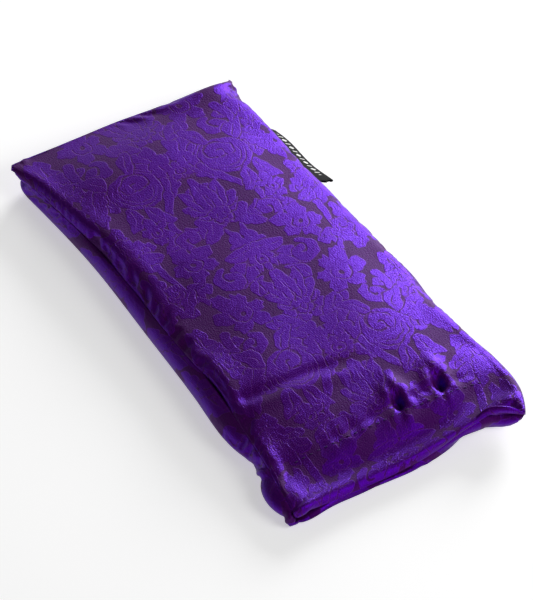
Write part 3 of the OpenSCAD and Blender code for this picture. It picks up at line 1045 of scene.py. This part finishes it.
def ribbon_label():
    """The ribbon, folded in half: its profile runs out along the lower layer, round the fold and back."""
    length = LABEL_HIGH[0] - LABEL_LOW[0]
    across = np.linspace(0, LABEL_REACH + LABEL_INSIDE - FOLD_R, 26)
    rng = np.random.default_rng(RNG_SEED)
    fray = rng.uniform(-0.4, 0.4, len(across))
    bend = math.pi * (np.arange(1, 8) / 8 - 0.5)
    outer = np.concatenate([
        np.stack([across, np.full(len(across), -FOLD_R)], axis=-1),
        np.stack([across[-1] + FOLD_R * np.cos(bend), FOLD_R * np.sin(bend)], axis=-1),
        np.stack([across[::-1], np.full(len(across), FOLD_R)], axis=-1),
    ])
    tangent = np.gradient(outer, axis=0)
    tangent /= np.linalg.norm(tangent, axis=1, keepdims=True) + 1e-9
    inner = outer - LABEL_T * np.stack([tangent[:, 1], -tangent[:, 0]], axis=-1)
    loop = np.concatenate([outer, inner[::-1]])
    walked = np.concatenate([[0], np.cumsum(np.linalg.norm(np.diff(outer, axis=0), axis=1))])
    count = len(loop)
    s = np.linspace(0, 1, 90)[:, None]
    out, up = loop[None, :, 0], loop[None, :, 1]
    share = np.clip(out / LABEL_REACH, 0, 1)
    tilt = LABEL_DROOP[0] + s * (LABEL_DROOP[1] - LABEL_DROOP[0]) + 0.03 * np.sin(7 * s)
    curl = 0.35 * np.sin(2.2 * math.pi * s + 0.4) * share**1.5
    x = np.repeat(LABEL_LOW[0] + length * s, count, axis=1)
    frayed = fray[(share[0] * (len(across) - 1)).astype(int)]
    x[0] += 0.4 * frayed
    x[-1] += frayed
    root_y = through(LABEL_SIDE, x) - LABEL_INSIDE
    y = root_y + out * np.cos(tilt) - (up + curl) * np.sin(tilt)
    z = SEAM_Z + 0.9 + out * np.sin(tilt) + (up + curl) * np.cos(tilt)
    vertices = np.stack([x, y, z], axis=-1).reshape(-1, 3)
    cut_u = np.repeat(length * s, count, axis=1).ravel()
    cut_v = np.tile(np.concatenate([walked, walked[::-1]]), len(s))
    # The figures stand on the upper layer, between the fold and the seam
    figure = label_figures(cut_u - length / 2, walked[-1] - cut_v - LABEL_INSIDE - 0.55 * LABEL_REACH, length)
    faces = []
    for i in range(len(s) - 1):
        for k in range(count):
            a, b = i * count + k, i * count + (k + 1) % count
            faces.append((a, b, b + count, a + count))
    for i, flip in ((0, False), (len(s) - 1, True)):
        for k in range(len(outer) - 1):
            a, b = i * count + k, i * count + k + 1
            c, d = i * count + count - 2 - k, i * count + count - 1 - k
            faces.append((a, d, c, b) if flip else (a, b, c, d))
    obj = new_object("ribbon_label", vertices * MM, faces)
    add_attribute(obj, "cut_u", cut_u)
    add_attribute(obj, "cut_v", cut_v)
    add_attribute(obj, "figure", figure)
    return obj


def label_figures(x, y, length):
    """A woven border of lozenges and bars, as a field that is positive on them."""
    pitch = 2.6
    k = np.round(x / pitch)
    dx = x - k * pitch
    lozenge = (1.0 - np.abs(dx) / 1.05 - np.abs(y) / 1.75) * 0.7
    bar = np.minimum(0.32 - np.abs(dx), 1.5 - np.abs(y))
    field = np.where(k % 2 == 0, lozenge, bar)
    return np.where(np.abs(x) < length / 2 - 4, field, -1)


label = ribbon_label()
label.data.materials.append(ribbon)
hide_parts("side_label", "label_motif")
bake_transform(label)

# ---- Pouch ----

POUCH_GAP = 1.0
POUCH_T = 0.5
CELL = 2.0


def height_map(panel_sheet, lowest):
    """The cover panel's lowest (or highest) Z in each cell of the plan, taken over the cells next to it too."""
    cells = np.full((140, 80), np.nan)
    pick = np.fmin if lowest else np.fmax
    i = np.clip(((panel_sheet[..., 0] + 140) / CELL).astype(int), 0, 139).ravel()
    j = np.clip(((panel_sheet[..., 1] + 80) / CELL).astype(int), 0, 79).ravel()
    pick.at(cells, (i, j), panel_sheet[..., 2].ravel())
    for _ in range(2):
        near = [np.roll(cells, (di, dj), (0, 1)) for di in (-1, 0, 1) for dj in (-1, 0, 1)]
        cells = pick.reduce(near)
    return cells


def look_up(cells, x, y):
    i = np.clip(((x + 140) / CELL).astype(int), 0, 139)
    j = np.clip(((y + 80) / CELL).astype(int), 0, 79)
    return cells[i, j]


roof = height_map(top_sheet, True)
ground = height_map(bottom_sheet, False)


def pouch_sheet(side, rows=150, columns=90):
    """Half of the pouch: the filling's surface, a little smaller, puckered along its seams."""
    s = np.linspace(-1, 1, rows)
    t = np.linspace(-1, 1, columns)
    s = np.sin(s * math.pi / 2)
    t = np.sin(t * math.pi / 2)
    gx, gy = np.meshgrid(s, t, indexing="ij")
    half_x = (POUCH_HIGH[0] - POUCH_LOW[0]) / 2
    x = (POUCH_HIGH[0] + POUCH_LOW[0]) / 2 + half_x * gx
    middle, half_y = fill_sides(x)
    half_y = np.minimum(half_y - 4.0, USUAL_HALF - 6.0) - 3.0 * np.clip(x / 90, 0, 1)
    y = middle + 1.5 + half_y * gy
    room = np.clip(1 - np.abs(gx) ** FILL_POWER_NEAR - np.abs(gy) ** FILL_POWER_Y, 0, 1)
    height = room ** (1 / FILL_POWER_UP)
    high, low = look_up(roof, x, y) - 1.3, look_up(ground, x, y) + 1.2
    seam_z = 9.0 - 1.5 * smooth_step(x, 55, 88) + side * POUCH_T
    if side > 0:
        z = seam_z + (fill_up(x, y) + FILL_Z - seam_z - POUCH_GAP) * height
    else:
        z = seam_z - (seam_z - 1.2) * np.minimum(1, 1.25 * height)
    near_seam = np.exp(-((1 - np.abs(gy)) * half_y / 6) ** 2) + np.exp(-((1 - np.abs(gx)) * half_x / 6) ** 2)
    run = np.where(np.abs(gy) > np.abs(gx), x, y)
    z = z + side * 0.35 * near_seam * np.sin(2 * math.pi * run / 7.5 + 2 * wave_noise(x, y, 30, 71)) * height
    z = np.maximum(np.minimum(z, high), seam_z) if side > 0 else np.minimum(np.maximum(z, low), seam_z)
    return np.stack([x, y, z], axis=-1), x - POUCH_LOW[0], y


def pouch_panel(name, side, node):
    rows_sheet, x, y = pouch_sheet(side)
    rows, columns = rows_sheet.shape[:2]
    inner = rows_sheet - np.array([0, 0, side * (POUCH_T - 0.05)])
    outer_faces = grid_faces(rows, columns, side > 0)
    inner_faces = grid_faces(rows, columns, side < 0) + rows * columns
    index = np.arange(rows * columns).reshape(rows, columns)
    loop = np.concatenate([index[0, :-1], index[:-1, -1], index[-1, :0:-1], index[:0:-1, 0]])
    ahead = np.roll(loop, -1)
    shift = rows * columns
    sides = np.stack([loop, ahead, ahead + shift, loop + shift], axis=-1)
    sides = sides[:, ::-1] if side > 0 else sides
    faces = [tuple(int(k) for k in f) for block in (outer_faces, inner_faces, sides) for f in block]
    panel = new_object(name, np.concatenate([rows_sheet.reshape(-1, 3), inner.reshape(-1, 3)]) * MM, faces)
    add_attribute(panel, "cut_u", np.tile(x.ravel(), 2))
    add_attribute(panel, "cut_v", np.tile(y.ravel(), 2))
    finish_piece(panel, muslin, "pouch", [node])
    return rows_sheet


pouch_top = pouch_panel("pouch_top", 1, "pouch_top_panel")
pouch_bottom = pouch_panel("pouch_bottom", -1, "pouch_bottom_panel")


def pouch_rows(lines):
    up = np.array([0, 0, 1.0])
    return [(line, np.tile(up, (len(line), 1))) for line in lines]


edge = 2
pouch_thread = stitch_mesh("pouch_seam_thread", pouch_rows([pouch_top[edge, 6:-6], pouch_top[6:-6, edge],
                                                            pouch_top[6:-6, -1 - edge]]))
finish_piece(pouch_thread, cotton_thread, "pouch", ["pouch_seam"])
closing = stitch_mesh("pouch_closing_thread", pouch_rows([pouch_top[-1 - edge, 6:-6], pouch_top[-3 - edge, 6:-6]]))
finish_piece(closing, cotton_thread, "pouch", ["pouch_closing_seam"])

FILL_INSET = (14, 12)
LOOSE_LAYER = 3.4


def seed_fill():
    """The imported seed: a closed mass between the pouch's panels, with the loose layer left above it."""
    i, j = FILL_INSET
    top = pouch_top[i:-i:2, j:-j:2] - [0, 0, LOOSE_LAYER]
    bottom = pouch_bottom[i:-i:2, j:-j:2] + [0, 0, 1.0]
    middle = (top[..., 2] + bottom[..., 2]) / 2
    top[..., 2] = np.maximum(top[..., 2], middle + 0.4)
    bottom[..., 2] = np.minimum(bottom[..., 2], middle - 0.4)
    rows, columns = top.shape[:2]
    index = np.arange(rows * columns).reshape(rows, columns)
    loop = np.concatenate([index[0, :-1], index[:-1, -1], index[-1, :0:-1], index[:0:-1, 0]])
    ahead, shift = np.roll(loop, -1), rows * columns
    sides = np.stack([loop, loop + shift, ahead + shift, ahead], axis=-1)[:, ::-1]
    faces = [tuple(int(k) for k in f) for block in
             (grid_faces(rows, columns, True), grid_faces(rows, columns, False) + shift, sides) for f in block]
    mass = new_object("flax_fill", np.concatenate([top.reshape(-1, 3), bottom.reshape(-1, 3)]) * MM, faces)
    finish_piece(mass, packed_flax, "pouch", ["flax_seed_fill"])


seed_fill()

for node, material in (("loose_flax_seeds", flax), ("lavender_buds", lavender)):
    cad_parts[node].data.materials.clear()
    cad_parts[node].data.materials.append(material)

# ---- Stage, light and camera ----

AZIMUTH = math.radians(58.6)
ELEVATION = math.radians(45.6)
DISTANCE = 8.0
VIEW_HEIGHT = 0.245
AIM = Vector((0, 0, 0.0068))


def add_camera():
    data = bpy.data.cameras.new("camera")
    camera = bpy.data.objects.new("camera", data)
    bpy.context.scene.collection.objects.link(camera)
    ahead = Vector((-math.sin(AZIMUTH) * math.cos(ELEVATION), math.cos(AZIMUTH) * math.cos(ELEVATION),
                    -math.sin(ELEVATION)))
    camera.location = AIM - ahead * DISTANCE
    camera.rotation_euler = ahead.to_track_quat("-Z", "Y").to_euler()
    data.sensor_width = 36
    data.lens = data.sensor_width * DISTANCE / VIEW_HEIGHT
    data.clip_end = 40
    bpy.context.scene.camera = camera


def add_area(name, place, size, power, colour=(1, 1, 1)):
    data = bpy.data.lights.new(name, "AREA")
    data.shape = "RECTANGLE"
    data.size, data.size_y = size
    data.energy = power
    data.color = colour
    light = bpy.data.objects.new(name, data)
    light.location = place
    light.rotation_euler = (-Vector(place)).to_track_quat("-Z", "Y").to_euler()
    bpy.context.scene.collection.objects.link(light)


add_camera()
floor = new_object("floor", [(-3, -3, 0), (3, -3, 0), (3, 3, 0), (-3, 3, 0)], [(0, 1, 2, 3)])
floor_material = plain_material("floor", (0.9, 0.9, 0.9), 0.8)
floor_shader = floor_material.node_tree.nodes["Principled BSDF"]
floor_shader.inputs["Emission Color"].default_value = (1, 1, 1, 1)
floor_shader.inputs["Emission Strength"].default_value = 0.48
floor.data.materials.append(floor_material)

world = bpy.data.worlds.new("world")
world.use_nodes = True
world.node_tree.nodes["Background"].inputs["Color"].default_value = (1, 1, 1, 1)
world.node_tree.nodes["Background"].inputs["Strength"].default_value = 0.10
bpy.context.scene.world = world
bpy.context.scene.view_settings.view_transform = "Standard"

add_area("softbox_back_right", (-0.58, 0.94, 0.37), (0.5, 0.40), 12.5)
add_area("softbox_far", (-1.1, 0.42, 0.28), (0.3, 0.3), 0.9)
add_area("front_high", (0.9, 0.6, 0.8), (0.7, 0.7), 6.5)
